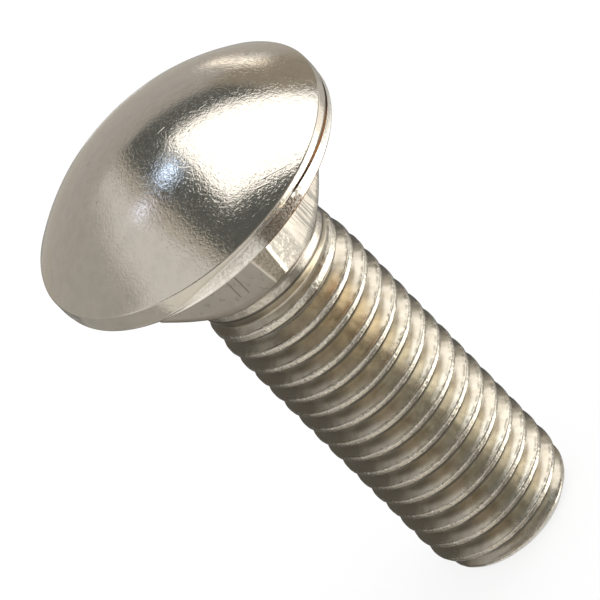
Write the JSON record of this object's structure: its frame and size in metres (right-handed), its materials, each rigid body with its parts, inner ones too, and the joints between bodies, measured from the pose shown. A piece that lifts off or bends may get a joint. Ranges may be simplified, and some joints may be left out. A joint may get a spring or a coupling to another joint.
{
  "type": "carriage bolt",
  "caption": "Carriage bolt in stainless steel: low domed head, square neck with cut corners and a coarse right-hand thread up to the neck.",
  "frame": {"origin": "on the bolt's axis, in the plane of the bearing face under the head", "axes": "+Z along the bolt's axis towards the top of the dome; the neck's flats face X and Y; the point's flat end faces -Z"},
  "size_m": [0.0324, 0.0324, 0.0589],
  "materials": {
    "stainless_steel": "tumbled satin, with a smoother sheen on the dome"
  },
  "bodies": {
    "root": {"carriage_bolt": "stainless_steel"}
  },
  "joints": []
}
